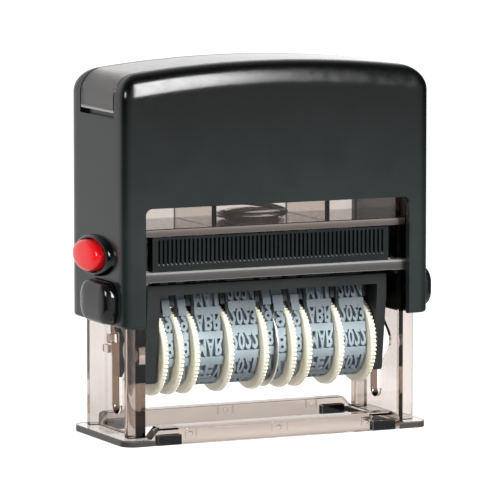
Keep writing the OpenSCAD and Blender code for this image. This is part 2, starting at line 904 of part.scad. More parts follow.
// one side plate from an inner face on, with its trunnion and guide pin, on the right
module side_plate(inner) {
    difference() {
        union() {
            along_x(inner, plate_out)
                plate_profile();
            rod_x(plate_out - eps, trunnion_end, 0, pivot_z, trunnion_r);
            rod_x(plate_out - eps, guide_end, 0, guide_z, guide_r);
        }
        rod_x(inner - over, plate_out + over, 0, axle_z, axle_r);
    }
}

// a side plate's outline in Y and Z
module plate_profile() {
    top = pivot_z + plate_top;
    polygon([[-plate_y, top], [plate_y, top], [plate_y, top - cheek_h],
        [plate_low_y, plate_low + nose], [plate_low_y - nose, plate_low],
        [nose - plate_low_y, plate_low], [-plate_low_y, plate_low + nose], [-plate_y, top - cheek_h]]);
}

module band_carrier() {
    top = pivot_z + plate_top;
    color(charcoal)
        union() {
            side_plate(plate_in);
            mirror([1, 0, 0])
                side_plate(plate_in - plate_more);
            for (s = [-1, 1])
                scale([1, s, 1])
                    span(-plate_in - eps, plate_in + eps, bar_y - bar_d, bar_y, top - bar_h, top);
        }
}

module print_bridge() {
    color(charcoal)
        union() {
            along_x(plate_more - plate_in, plate_in)
                polygon(concat(
                    arc(top_cy, top_cz, bridge_corner_r, 0, 90, corner_steps),
                    arc(-top_cy, top_cz, bridge_corner_r, 90, 180, corner_steps),
                    [[-bridge_foot_y, bridge_low], [bridge_foot_y, bridge_low]]));
            for (i = [0 : len(units) - 1])
                along_x(rim_x(i) + (rim_t - fin_t) / 2, rim_x(i) + (rim_t + fin_t) / 2)
                    intersection() {
                        polygon(loop(belt_t - fin_in));
                        translate([-far / 2, fin_low])
                            square(far);
                    }
        }
}

module wheel_axle() {
    color(steel)
        rod_x(-axle_end, axle_end, 0, axle_z, axle_r);
}

module axle_clip() {
    color(steel)
        difference() {
            rod_x(plate_out, plate_out + clip_t, 0, axle_z, clip_r);
            rod_x(plate_out - over, plate_out + clip_t + over, 0, axle_z, axle_r);
        }
}

module axle_clip_left() {
    mirror([1, 0, 0])
        axle_clip();
}

module axle_clip_right() {
    axle_clip();
}

module separator_disc() {
    x = stack_x + left_w;
    color(steel)
        difference() {
            rod_x(x, x + disc_t, 0, axle_z, disc_r);
            rod_x(x - over, x + disc_t + over, 0, axle_z, axle_r);
        }
}

// one thumbwheel: toothed rim, drum and bore
module thumbwheel(i) {
    drum_x = i < left_count ? rim_x(i) + rim_t - eps : unit_x(i) + unit_gap / 2;
    drum_w = units[i] - rim_t - unit_gap + eps;
    points = [for (k = [0 : 2 * teeth - 1])
        let (r = k % 2 == 0 ? wheel_r : wheel_r - tooth_h)
        [r * cos(180 * k / teeth), axle_z + r * sin(180 * k / teeth)]];
    color(ivory)
        difference() {
            union() {
                along_x(rim_x(i), rim_x(i) + rim_t)
                    polygon(points);
                rod_x(drum_x, drum_x + drum_w, 0, axle_z, drum_r);
            }
            rod_x(unit_x(i) - over, unit_x(i) + units[i] + over, 0, axle_z, wheel_bore);
        }
}

// one date band with a raised block at every character's place
module date_band(i) {
    color(band_grey)
        union() {
            along_x(band_x(i), band_x(i) + band_w(i))
                difference() {
                    polygon(loop(belt_t));
                    polygon(loop(0));
                }
            for (k = [0 : blocks - 1])
                band_block(i, spot(k * block_pitch));
        }
}

// one character block at a place on a band
module band_block(i, p) {
    translate([band_x(i) + block_edge, p[0], p[1]])
        rotate([p[2], 0, 0])
            translate([0, -block_deep, -block_len / 2])
                cube([band_w(i) - 2 * block_edge, block_deep + block_h, block_len]);
}

module thumbwheel_1() { thumbwheel(0); }
module thumbwheel_2() { thumbwheel(1); }
module thumbwheel_3() { thumbwheel(2); }
module thumbwheel_4() { thumbwheel(3); }
module thumbwheel_5() { thumbwheel(4); }
module thumbwheel_6() { thumbwheel(5); }
module thumbwheel_7() { thumbwheel(6); }
module thumbwheel_8() { thumbwheel(7); }
module thumbwheel_9() { thumbwheel(8); }
module date_band_1() { date_band(0); }
module date_band_2() { date_band(1); }
module date_band_3() { date_band(2); }
module date_band_4() { date_band(3); }
module date_band_5() { date_band(4); }
module date_band_6() { date_band(5); }
module date_band_7() { date_band(6); }
module date_band_8() { date_band(7); }
module date_band_9() { date_band(8); }

foot_frame();
rubber_foot_1();
rubber_foot_2();
rubber_foot_3();
rubber_foot_4();
body_frame();
ink_pad_tray();
ink_pad_felt();
return_spring();
cap_shell();
index_window();
lock_button();
side_button_left();
side_button_right();
band_carrier();
print_bridge();
wheel_axle();
axle_clip_left();
axle_clip_right();
separator_disc();
thumbwheel_1();
thumbwheel_2();
thumbwheel_3();
thumbwheel_4();
thumbwheel_5();
thumbwheel_6();
thumbwheel_7();
thumbwheel_8();
thumbwheel_9();
date_band_1();
date_band_2();
date_band_3();
date_band_4();
date_band_5();
date_band_6();
date_band_7();
date_band_8();
date_band_9();
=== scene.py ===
"""Looks of the date stamp: detailed pieces, materials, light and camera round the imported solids."""
import functools
import math

import bmesh
import bpy
from mathutils import Matrix, Vector


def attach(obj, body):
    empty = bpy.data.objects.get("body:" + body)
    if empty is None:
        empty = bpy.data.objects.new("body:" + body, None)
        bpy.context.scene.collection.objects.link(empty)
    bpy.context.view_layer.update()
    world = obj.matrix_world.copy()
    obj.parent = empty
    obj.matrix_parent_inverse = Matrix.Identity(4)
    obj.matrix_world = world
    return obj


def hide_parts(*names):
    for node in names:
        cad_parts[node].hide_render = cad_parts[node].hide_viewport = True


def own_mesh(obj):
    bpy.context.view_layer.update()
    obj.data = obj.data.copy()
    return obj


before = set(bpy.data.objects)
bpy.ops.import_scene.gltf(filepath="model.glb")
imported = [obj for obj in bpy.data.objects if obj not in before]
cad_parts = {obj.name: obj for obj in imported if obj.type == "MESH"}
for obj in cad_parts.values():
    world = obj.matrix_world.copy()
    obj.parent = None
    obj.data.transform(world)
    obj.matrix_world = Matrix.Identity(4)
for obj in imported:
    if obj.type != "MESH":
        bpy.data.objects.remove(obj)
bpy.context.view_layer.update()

# Sizes are in millimetres, as in the part's source.
# Points closer than WELD are one point, and a cutter reaches BEYOND the surface that it cuts.
MM = 0.001
WELD = 1e-5
BEYOND = 2.0

# The cap: half sizes, walls, rolled edges, arched crown, windows, guide shoes and bores.
CAP_X, CAP_Y, CAP_TOP, CAP_LOW = 31.75, 13.0, 71.4, 22.2
CAP_WALL, CAP_ROOF, CAP_EDGE = 1.5, 2.7, 0.3
ARCH_R, ROLL, CORNER_POWER, ROUND_POWER = 230.0, 4.8, 5.5, 2.0
CAP_HEM, HEM_STEPS = 0.6, 5
CAP_STEPS_X, CAP_STEPS_CORNER, CAP_LAYERS = 36, 16, 14
ROLL_STEPS, CROWN_STEPS = 14, 48
WINDOW_X, WINDOW_TOP, WINDOW_R, WINDOW_STEPS = 27.4, 44.7, 1.3, 8
UPPER_IN, UPPER_Z = 29.0, 60.0
SHOE_IN, SHOE_Y, SHOE_TOP = 28.3, 8.1, 31.2
GROOVE_X, GROOVE_Y0, GROOVE_Y1 = 28.95, 1.85, 4.85
PIVOT_Z, TRUNNION_R, BORE_END, BORE_ROOM, BORE_STEPS = 26.0, 1.6, 29.72, 0.05, 48

# The index window and its recess. Its upper edges are rounded by turns in radians.
RECESS_Y, RECESS_LOW, RECESS_DEEP = 8.0, 61.4, 1.1
INDEX_Y, INDEX_T, INDEX_LOW = 7.9, 0.8, 62.3
INDEX_EDGE, INDEX_CORNER = 0.32, 0.34
INDEX_TURNS = (0.5, 1.05, 1.57)

# The lock button: oval, collar round it and catch bar behind the wall.
# A profile has (share of the oval, reach out of the wall), or the share of the way to the collar's rim.
LOCK_Y, LOCK_Z, LOCK_A, LOCK_B = 0.4, 35.0, 6.1, 3.0
LOCK_ROOM, COLLAR_A, COLLAR_B = 0.15, 8.7, 3.95
LOCK_STEPS, OPENING_STEPS = 72, 48
LOCK_PROFILE = ((1.0, -1.6), (1.0, 1.75), (0.99, 2.0), (0.968, 2.24), (0.93, 2.46), (0.875, 2.64),
                (0.8, 2.78), (0.68, 2.9), (0.52, 2.99), (0.34, 3.05), (0.17, 3.085), (0.03, 3.1))
COLLAR_PROFILE = ((0.0, -1.0), (0.0, 0.85), (0.05, 1.02), (0.13, 1.14), (0.24, 1.2), (0.42, 1.2),
                  (0.58, 1.12), (0.74, 0.94), (0.86, 0.68), (0.95, 0.34), (1.0, 0.0), (1.01, -0.1),
                  (0.6, -0.6), (0.0, -1.0))
CATCH_X0, CATCH_X1, CATCH_Z0, CATCH_Z1 = -30.15, -29.45, 32.9, 35.2
CATCH_REACH, CATCH_EDGE = 1.0, 0.12

# The side buttons: rounded lozenge, pocket and stem. The profile has (growth, reach out of the wall).
SIDE_Y, SIDE_Z, SIDE_LEN, SIDE_H, SIDE_R = -3.2, 26.6, 13.0, 7.9, 3.2
SIDE_LEAST_R, SIDE_STEPS = 0.5, 10
POCKET_X, POCKET_ROOM, POCKET_STEPS = 30.15, 0.15, 8
STEM_Y, STEM_R, STEM_X0, STEM_X1, STEM_STEPS = -5.5, 1.5, 29.75, 31.6, 24
SIDE_PROFILE = ((0.0, -0.3), (0.0, 1.0), (-0.03, 1.35), (-0.11, 1.68), (-0.24, 1.96), (-0.43, 2.2),
                (-0.7, 2.38), (-1.1, 2.5), (-1.7, 2.59), (-2.5, 2.66), (-3.4, 2.7))

# The wheels: units along the axle, each a wheel and its band, with a disc between the two dates.
# The rim's profile has (x from its left face, drop of the radius, share of the teeth's depth).
AXLE_Z = 16.1
UNITS = (3.25, 3.25, 7.1, 7.3, 3.25, 3.75, 3.25, 6.75, 6.85)
LEFT_COUNT, DISC_T, UNIT_GAP, STACK_SHIFT = 5, 0.3, 0.16, 0.4
STACK_X = STACK_SHIFT - (sum(UNITS) + DISC_T) / 2
WHEEL_R, RIM_T, DRUM_R, WHEEL_BORE = 8.4, 1.3, 5.05, 1.55
TEETH, TOOTH_H, TOOTH_STEPS = 62, 0.48, 8
RIM_PROFILE = ((0, 0.66, 0), (0.05, 0.42, 0), (0.14, 0.25, 0), (0.28, 0.13, 0), (0.46, 0.06, 0.08),
               (0.66, 0.02, 0.4), (0.86, 0, 0.8), (1.04, 0, 1), (RIM_T - 0.1, 0, 1), (RIM_T, 0.08, 1),
               (RIM_T, 0.66, 0))

# The bands: the loop over the wheel and the bridge, then bars, blanks and words as shares of a row.
BELT_R, BELT_T, BELT_STEPS = 5.25, 0.8, 150
TOP_R, TOP_Y, TOP_Z = 0.8, 1.7, 29.95
ROWS, ROW_STEPS, ROW_INSET, ROW_ROOT = 12, 10, 0.03, -0.2
ROW_SHIFTS = (0.58, 0.61, 0.67, -0.15, -0.56, 0.81, 0.81, 0.41, 0.48)
BAR_START, BAR_END, BAR_H = -0.04, 0.27, 0.74
BLANK_START, BLANK_END, BLANK_H = 0.605, 1.095, 0.5
TEXT_START, TEXT_SHARE = 0.25, 0.67
GLYPH_H, GLYPH_ROOT, GLYPH_BOLD = 0.8, -0.05, 0.03
GLYPH_CURVE_STEPS, GLYPH_LEVELS = 4, 8
WORD_MARGIN, LETTER_GAP = 0.08, 0.07
# Finish places: the belt, darker partly as painted shade in the gaps, then the raised characters and
# plates.
BELT_GAP_SHADE_FINISH, GLYPH_FINISH = 0, 1
MONTHS = ("JUN", "MAI", "ABR", "MAR", "FEV", "JAN", "DEZ", "NOV", "OUT", "SET", "AGO", "JUL")
YEARS = ("2025", "2024", "2023", "2022", "2021", "2020", "2031", "2030", "2029", "2028", "2027", "2026")
DIGITS = ("", "", "9", "8", "7", "6", "5", "4", "3", "2", "1", "0")
BAND_WORDS = (DIGITS, DIGITS, MONTHS, YEARS, DIGITS, DIGITS, DIGITS, MONTHS, YEARS)
NARROW = {"1": 0.5, "I": 0.28, "J": 0.85}

# The return spring. COIL_PACK is the rise of a closed end turn in wire widths.
COIL_R, COIL_FOOT, COIL_LOW, COIL_HIGH = 6.5, 40.4, 40.45, 68.5
COIL_TURNS, COIL_STEPS, COIL_PACK = 8, 40, 1.05
WIRE_R, WIRE_SIDES = 0.5, 12

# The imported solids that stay: points joined, flat faces merged (degrees) and edges rounded.
JOIN_REACH, FLAT_ANGLE, ROUND_ANGLE = 0.002, 1, 30

# Spans of the noise that tones and gloss follow.
TONE_SPAN = (0.35, 0.65)
GLOSS_SPAN = (0.3, 0.7)

# Painted light and shade that change with height: two heights and (place, grey) or (place, colour)
# between them.
# On clear plastic such a stretch is also duller, has soft ends of the width set below, and on the foot
# plate lies only beyond FOOT_REACH.
# Painted shade on the cap: its colour grows darker towards the crown.
CAP_SHADE_LOW, CAP_SHADE_HIGH = 41.0, 67.0
CAP_PAINTED_SHADE = ((0.0, 1.0), (1.0, 0.1))
# Painted shade on the bands and their characters: darkest at the top under the carrier's bridge, darker
# towards the bottom, brightest on the rows that face the light.
BAND_SHADE_LOW, BAND_SHADE_HIGH = 8.0, 26.0
BAND_PAINTED_SHADE = ((0.0, 0.60), (0.17, 0.66), (0.33, 0.80), (0.50, 1.0), (0.61, 1.0), (0.75, 0.78),
            (0.86, 0.55), (1.0, 0.42))
ZONE_EDGE = 0.08
# Painted shade: the foot plate's ends are darkened at this height.
FOOT_LOW, FOOT_HIGH, FOOT_REACH = 0.1, 1.08, 25.5
FOOT_PAINTED_SHADE = ((0.0, (0.04, 0.038, 0.036)), (1.0, (0.065, 0.062, 0.06)))
# Painted light on the pad's shelf: painted highlights on its lower and upper edges, painted shade
# between them.
SHELF_LOW, SHELF_HIGH = 30.45, 32.45
SHELF_PAINTED_LIGHT = ((0.0, (0.22, 0.215, 0.205)), (0.12, (0.20, 0.195, 0.185)), (0.20, (0.06, 0.059, 0.055)),
               (0.55, (0.075, 0.073, 0.069)), (0.76, (0.12, 0.116, 0.11)), (0.87, (0.44, 0.428, 0.41)))
# Painted shade on the roof over the pad, lighter at its top edge.
ROOF_LOW, ROOF_HIGH = 39.15, 40.25
ROOF_PAINTED_SHADE = ((0.0, (0.10, 0.08, 0.068)), (0.55, (0.15, 0.12, 0.105)), (1.0, (0.32, 0.275, 0.245)))
# Painted glow along the index window's lower ends, darkening upwards.
INDEX_GLOW_LOW, INDEX_GLOW_HIGH = INDEX_LOW - 0.1, INDEX_LOW + 0.55
INDEX_PAINTED_GLOW = ((0.0, (0.75, 0.73, 0.70)), (0.45, (0.70, 0.68, 0.65)), (1.0, (0.12, 0.115, 0.11)))

# The room's greys along Y, X and Z, multiplied, and the pale ground that shows where it is lighter.
BACK_STOPS = ((0.0, 0.62), (0.1, 0.56), (0.28, 0.05), (0.66, 0.05), (0.92, 1.0))
SIDE_STOPS = ((0.0, 0.5), (0.3, 0.64), (0.55, 1.0), (0.80, 1.0), (0.92, 0.35))
HEIGHT_STOPS = ((0.33, 0.8), (0.40, 1.0), (0.62, 1.0), (0.80, 0.32))
GROUND_STOPS = ((0.33, 0.65), (0.40, 0.0))
ROOM_LIGHT = 1.15
FLOOR_R, FLOOR_STEPS, FLOOR_GLOW = 300.0, 144, 0.88

# The camera: turn and tilt in degrees, distance from the aim, and small shifts down and to the left.
CAMERA_TURN, CAMERA_TILT, CAMERA_DISTANCE = 24.816, 6.659, 941.0
CAMERA_AIM, CAMERA_DROP, CAMERA_SLIP = (0, 0, 36), 1.588, 0.0935
CAMERA_LENS, CAMERA_SENSOR = 355.06, 36.0

# Places of a Mix node's sockets: the share, then both values and the result, for colours and numbers.
MIX_SHARE = 0
MIX_COLOURS, COLOUR_OUT = (6, 7), 2
MIX_NUMBERS, NUMBER_OUT = (2, 3), 0


# Nodes, for finishes and for the room.

def tone_ramp(tree, stops, along):
    """Colours from (place, colour) pairs, picked by a value."""
    ramp = tree.nodes.new("ShaderNodeValToRGB")
    points = ramp.color_ramp.elements
    while len(points) < len(stops):
        points.new(0.5)
    for point, (place, colour) in zip(points, stops):
        point.position = place
        point.color = (*colour, 1)
    tree.links.new(along, ramp.inputs["Fac"])
    return ramp.outputs["Color"]


def grey_ramp(tree, stops, along):
    """Greys from (place, value) pairs, picked by a value."""
    return tone_ramp(tree, [(place, (value, value, value)) for place, value in stops], along)


def spread(tree, value, start, end, low=0.0, high=1.0):
    """A value carried over from the span between start and end to the one between low and high."""
    node = tree.nodes.new("ShaderNodeMapRange")
    node.inputs["From Min"].default_value = start
    node.inputs["From Max"].default_value = end
    node.inputs["To Min"].default_value = low
    node.inputs["To Max"].default_value = high
    tree.links.new(value, node.inputs["Value"])
    return node.outputs["Result"]


def blend(tree, mode, first, second, share=None):
    """Two colours mixed, all over or by the share of a mask."""
    node = tree.nodes.new("ShaderNodeMix")
    node.data_type = "RGBA"
    node.blend_type = mode
    node.inputs[MIX_SHARE].default_value = 1.0
    if share is not None:
        tree.links.new(share, node.inputs[MIX_SHARE])
    for colour, socket in zip((first, second), MIX_COLOURS):
        tree.links.new(colour, node.inputs[socket])
    return node.outputs[COLOUR_OUT]


def split_place(tree, space):
    """X, Y and Z of a place in a space."""
    place = tree.nodes.new("ShaderNodeTexCoord")
    split = tree.nodes.new("ShaderNodeSeparateXYZ")
    tree.links.new(place.outputs[space], split.inputs["Vector"])
    return split.outputs


def only_beyond(tree, mask, across, reach):
    """Keeps a mask only where a place lies further than a reach from the middle."""
    away, far, kept = [tree.nodes.new("ShaderNodeMath") for step in range(3)]
    away.operation, far.operation, kept.operation = "ABSOLUTE", "GREATER_THAN", "MULTIPLY"
    far.inputs[1].default_value = reach * MM
    tree.links.new(across, away.inputs[0])
    tree.links.new(away.outputs[0], far.inputs[0])
    tree.links.new(far.outputs[0], kept.inputs[0])
    tree.links.new(mask, kept.inputs[1])
    return kept.outputs[0]


# Finishes.

def new_material(name):
    """A node material with its main shader."""
    mat = bpy.data.materials.new(name)
    mat.use_nodes = True
    return mat


def socket_of(mat, name):
    """A socket of the finish's main shader."""
    return mat.node_tree.nodes["Principled BSDF"].inputs[name]


def noise(mat, grain, detail, stretch=(1, 1, 1)):
    """Noise in the object's own space, with a grain in millimetres."""
    tree = mat.node_tree
    place = tree.nodes.new("ShaderNodeTexCoord")
    mapping = tree.nodes.new("ShaderNodeMapping")
    mapping.inputs["Scale"].default_value = stretch
    texture = tree.nodes.new("ShaderNodeTexNoise")
    texture.inputs["Scale"].default_value = 1 / (grain * MM)
    texture.inputs["Detail"].default_value = detail
    tree.links.new(place.outputs["Object"], mapping.inputs["Vector"])
    tree.links.new(mapping.outputs["Vector"], texture.inputs["Vector"])
    return texture.outputs["Fac"]


def tint(mat, pattern, low, high):
    """Colour that wanders between two tones."""
    colour = tone_ramp(mat.node_tree, list(zip(TONE_SPAN, (low, high))), pattern)
    mat.node_tree.links.new(colour, socket_of(mat, "Base Color"))


def rough(mat, pattern, low, high):
    """Roughness that wanders between two values."""
    gloss = spread(mat.node_tree, pattern, *GLOSS_SPAN, low, high)
    mat.node_tree.links.new(gloss, socket_of(mat, "Roughness"))


def bump(mat, pattern, height, strength=0.5):
    """Fine relief of the surface, with a height in millimetres."""
    node = mat.node_tree.nodes.new("ShaderNodeBump")
    node.inputs["Strength"].default_value = strength
    node.inputs["Distance"].default_value = height * MM
    mat.node_tree.links.new(pattern, node.inputs["Height"])
    mat.node_tree.links.new(node.outputs["Normal"], socket_of(mat, "Normal"))


def moulded(name, low, high, gloss, grain=0.12, relief=0.004, ior=1.5):
    """Moulded plastic or rubber: wandering tone, wandering gloss and a fine skin."""
    mat = new_material(name)
    tint(mat, noise(mat, grain=9, detail=2), low, high)
    rough(mat, noise(mat, grain=2.2, detail=4), *gloss)
    bump(mat, noise(mat, grain, detail=2), relief)
    socket_of(mat, "IOR").default_value = ior
    return mat


def clear(name, low, high, gloss, depth_colour, density):
    """Clear moulded plastic, tinted by its depth, with faint flow marks."""
    mat = new_material(name)
    tint(mat, noise(mat, grain=12, detail=2), low, high)
    rough(mat, noise(mat, grain=4, detail=3), *gloss)
    bump(mat, noise(mat, grain=5, detail=2), height=0.02, strength=0.25)
    socket_of(mat, "Transmission Weight").default_value = 1.0
    socket_of(mat, "IOR").default_value = 1.49
    tree = mat.node_tree
    depth = tree.nodes.new("ShaderNodeVolumeAbsorption")
    depth.inputs["Color"].default_value = (*depth_colour, 1)
    depth.inputs["Density"].default_value = density
    tree.links.new(depth.outputs["Volume"], tree.nodes["Material Output"].inputs["Volume"])
    return mat


def metal(name, low, high, gloss, stretch):
    """Drawn or rolled steel with fine lines."""
    mat = new_material(name)
    lines = noise(mat, grain=0.3, detail=4, stretch=stretch)
    tint(mat, lines, low, high)
    rough(mat, lines, *gloss)
    bump(mat, lines, height=0.003)
    socket_of(mat, "Metallic").default_value = 1.0
    return mat


def felt(name, low, high):
    """Ink-soaked felt: matt fibres."""
    mat = new_material(name)
    fibres = noise(mat, grain=0.25, detail=6, stretch=(1, 1, 0.4))
    tint(mat, fibres, low, high)
    rough(mat, fibres, low=0.75, high=0.95)
    bump(mat, fibres, height=0.08, strength=0.9)
    socket_of(mat, "Sheen Weight").default_value = 0.3
    return mat


def paint_shade_by_height(mat, low, high, stops):
    """Scales a finish's colour by height, from a low place to a high one, as painted shade."""
    tree = mat.node_tree
    colour = socket_of(mat, "Base Color")
    height = spread(tree, split_place(tree, "Object")["Z"], low * MM, high * MM)
    painted_shade = grey_ramp(tree, stops, height)
    tree.links.new(blend(tree, "MULTIPLY", colour.links[0].from_socket, painted_shade), colour)


def mask_number(mat, name, mask, inside):
    """Gives a number of the shader another value where a mask is."""
    tree = mat.node_tree
    number = socket_of(mat, name)
    node = tree.nodes.new("ShaderNodeMix")
    first, second = [node.inputs[socket] for socket in MIX_NUMBERS]
    first.default_value = number.default_value
    second.default_value = inside
    for link in number.links:
        tree.links.new(link.from_socket, first)
    tree.links.new(mask, node.inputs[MIX_SHARE])
    tree.links.new(node.outputs[NUMBER_OUT], number)


def dull_and_paint_light(mat, low, high, painted_tones, gloss, through, reach=0.0):
    """Paints light and shade onto a clear plastic between two heights, as toned colour, and makes its
    skin there duller and less clear.
    """
    tree = mat.node_tree
    place = split_place(tree, "Object")
    height = spread(tree, place["Z"], (low - ZONE_EDGE) * MM, (high + ZONE_EDGE) * MM)
    edge = ZONE_EDGE / (high - low + 2 * ZONE_EDGE)
    mask = grey_ramp(tree, ((0, 0), (edge, 1), (1 - edge, 1), (1, 0)), height)
    if reach:
        mask = only_beyond(tree, mask, place["X"], reach)
    colour = socket_of(mat, "Base Color")
    painted_light = tone_ramp(tree, painted_tones, height)
    tree.links.new(blend(tree, "MIX", colour.links[0].from_socket, painted_light, mask), colour)
    mask_number(mat, "Roughness", mask, gloss)
    mask_number(mat, "Transmission Weight", mask, through)


def smoke_clear():
    """The frame's smoke plastic, duller with painted shade at the foot's ends and on the roof over the
    pad, and with painted highlights and shade on the pad's shelf.
    """
    mat = clear("smoke_clear", (0.94, 0.93, 0.92), (0.98, 0.975, 0.97), gloss=(0.02, 0.06),
                depth_colour=(0.65, 0.56, 0.50), density=500)
    dull_and_paint_light(mat, FOOT_LOW, FOOT_HIGH, FOOT_PAINTED_SHADE, gloss=0.3, through=0.15, reach=FOOT_REACH)
    dull_and_paint_light(mat, SHELF_LOW, SHELF_HIGH, SHELF_PAINTED_LIGHT, gloss=0.4, through=0.25)
    dull_and_paint_light(mat, ROOF_LOW, ROOF_HIGH, ROOF_PAINTED_SHADE, gloss=0.4, through=0.25)
    return mat


def index_clear():
    """The index window's clear plastic, with a painted glow on its lower ends."""
    mat = clear("index_clear", (0.95, 0.945, 0.94), (0.985, 0.98, 0.98), gloss=(0.03, 0.08),
                depth_colour=(0.5, 0.45, 0.42), density=700)
    dull_and_paint_light(mat, INDEX_GLOW_LOW, INDEX_GLOW_HIGH, INDEX_PAINTED_GLOW, gloss=0.25, through=0.3)
    return mat


def materials():
    """All finishes of the object by name."""
    mat = {
        "cap": moulded("cap_satin", (0.0125, 0.0175, 0.018), (0.0175, 0.023, 0.0235),
                       gloss=(0.17, 0.23), grain=0.10, ior=1.44),
        "gloss": moulded("gloss_black", (0.003, 0.0035, 0.004), (0.006, 0.0066, 0.007),
                         gloss=(0.10, 0.16), grain=0.3, relief=0.002),
        "tray": moulded("tray_black", (0.0045, 0.0075, 0.0075), (0.0085, 0.0125, 0.0125),
                        gloss=(0.24, 0.34), grain=0.2, ior=1.38),
        "red": moulded("button_red", (0.95, 0.007, 0.013), (1.0, 0.010, 0.018),
                       gloss=(0.16, 0.22), grain=0.4, relief=0.003, ior=1.45),
        "carrier": moulded("carrier_charcoal", (0.008, 0.0105, 0.011), (0.015, 0.0185, 0.019),
                           gloss=(0.42, 0.55), grain=0.15, relief=0.008),
        "rubber": moulded("foot_rubber", (0.010, 0.014, 0.015), (0.020, 0.026, 0.027),
                          gloss=(0.55, 0.75), grain=0.2, relief=0.012),
        "ivory": moulded("wheel_ivory", (0.89, 0.835, 0.675), (0.955, 0.905, 0.76),
                         gloss=(0.32, 0.45), grain=0.2),
        # The band's rubber is darker than its raised characters, bars and plates: partly a lighter tone
        # of the raised parts, partly painted shade in the gaps.
        "band": moulded("band_rubber", (0.29, 0.355, 0.39), (0.38, 0.46, 0.50),
                        gloss=(0.55, 0.72), relief=0.012),
        "glyph": moulded("band_glyph", (0.65, 0.775, 0.84), (0.78, 0.90, 0.96),
                         gloss=(0.5, 0.68), relief=0.010),
        "smoke": smoke_clear(),
        "index": index_clear(),
        "spring": metal("spring_wire", (0.50, 0.49, 0.47), (0.68, 0.67, 0.65),
                        gloss=(0.2, 0.35), stretch=(1, 1, 6)),
        "steel": metal("bright_steel", (0.76, 0.73, 0.68), (0.90, 0.87, 0.81),
                       gloss=(0.30, 0.45), stretch=(6, 1, 1)),
        "felt": felt("ink_felt", (0.006, 0.006, 0.012), (0.018, 0.018, 0.032)),
    }
    # Painted shade: the cap darker towards its crown, the bands and their characters darker at the top
    # and towards the bottom.
    paint_shade_by_height(mat["cap"], CAP_SHADE_LOW, CAP_SHADE_HIGH, CAP_PAINTED_SHADE)
    paint_shade_by_height(mat["band"], BAND_SHADE_LOW, BAND_SHADE_HIGH, BAND_PAINTED_SHADE)
    paint_shade_by_height(mat["glyph"], BAND_SHADE_LOW, BAND_SHADE_HIGH, BAND_PAINTED_SHADE)
    return mat


# Mesh helpers. Pieces are drawn in millimetres and scaled to metres when they are finished.

def raw_object(name, verts, faces, weld=True):
    """A mesh object in millimetres, with its faces turned outwards."""
    mesh = bpy.data.meshes.new(name)
    mesh.from_pydata([tuple(v) for v in verts], [], faces)
    form = bmesh.new()
    form.from_mesh(mesh)
    if weld:
        bmesh.ops.remove_doubles(form, verts=form.verts, dist=WELD)
    bmesh.ops.recalc_face_normals(form, faces=form.faces)
    form.to_mesh(mesh)
    form.free()
    piece = bpy.data.objects.new(name, mesh)
    bpy.context.scene.collection.objects.link(piece)
    return piece


def ring_faces(rings, count, joined=False):
    """Faces between rings of points, with the last ring joined to the first where asked."""
    faces = []
    for ring in range(rings if joined else rings - 1):
        here = ring * count
        there = (ring + 1) % rings * count
        for k in range(count):
            m = (k + 1) % count
            faces.append((here + k, here + m, there + m, there + k))
    return faces


def end_faces(rings, count):
    """The faces that close the first and the last ring of points."""
    last = (rings - 1) * count
    return [tuple(range(count)), tuple(range(last, last + count))]


def loft(name, rings, ends=True, joined=False):
    """A skin through rings of points, with closed ends or with the last ring joined to the first."""
    count = len(rings[0])
    faces = ring_faces(len(rings), count, joined)
    if ends:
        faces += end_faces(len(rings), count)
    return raw_object(name, [point for ring in rings for point in ring], faces)


def prism_x(name, outline, x0, x1):
    """A bar along X from an outline of (y, z) points."""
    return loft(name, [[(x, y, z) for y, z in outline] for x in (x0, x1)])


def prism_y(name, outline, y0, y1):
    """A slab along Y from an outline of (x, z) points."""
    return loft(name, [[(x, y, z) for x, z in outline] for y in (y0, y1)])


def box_tool(name, x0, x1, y0, y1, z0, z1):
    """A box for cutting and joining."""
    return prism_y(name, [(x0, z0), (x1, z0), (x1, z1), (x0, z1)], y0, y1)


def arc(cx, cy, r, a0, a1, steps):
    """Points on an arc, angles in degrees."""
    turns = [math.radians(a0 + (a1 - a0) * k / steps) for k in range(steps + 1)]
    return [(cx + r * math.cos(turn), cy + r * math.sin(turn)) for turn in turns]


def oval(cx, cy, a, b, steps):
    """Outline of an ellipse with half axes a and b."""
    turns = [2 * math.pi * k / steps for k in range(steps)]
    return [(cx + a * math.cos(turn), cy + b * math.sin(turn)) for turn in turns]


def circle(cx, cy, r, steps):
    """Outline of a circle."""
    return oval(cx, cy, r, r, steps)


def round_outline(cx, cy, length, height, r, steps):
    """Outline of a rounded rectangle."""
    x, y = length / 2 - r, height / 2 - r
    out = []
    for sx, sy, a in ((1, 1, 0), (-1, 1, 90), (-1, -1, 180), (1, -1, 270)):
        out += arc(cx + sx * x, cy + sy * y, r, a, a + 90, steps)
    return out


def bake(piece):
    """Turns a piece's modifiers into mesh."""
    deps = bpy.context.evaluated_depsgraph_get()
    baked = bpy.data.meshes.new_from_object(piece.evaluated_get(deps))
    piece.modifiers.clear()
    piece.data = baked


def carve(piece, tools, operation="DIFFERENCE"):
    """Cuts or joins tools into a piece and removes them."""
    for tool in tools:
        mod = piece.modifiers.new("carve", "BOOLEAN")
        mod.operation = operation
        mod.solver = "EXACT"
        mod.object = tool
        bake(piece)
        bpy.data.objects.remove(tool)


def soften(piece, width, angle=35, segments=3):
    """Small rounded edges where faces meet at more than an angle."""
    mod = piece.modifiers.new("edges", "BEVEL")
    mod.width = width
    mod.segments = segments
    mod.limit_method = "ANGLE"
    mod.angle_limit = math.radians(angle)
    mod.use_clamp_overlap = True


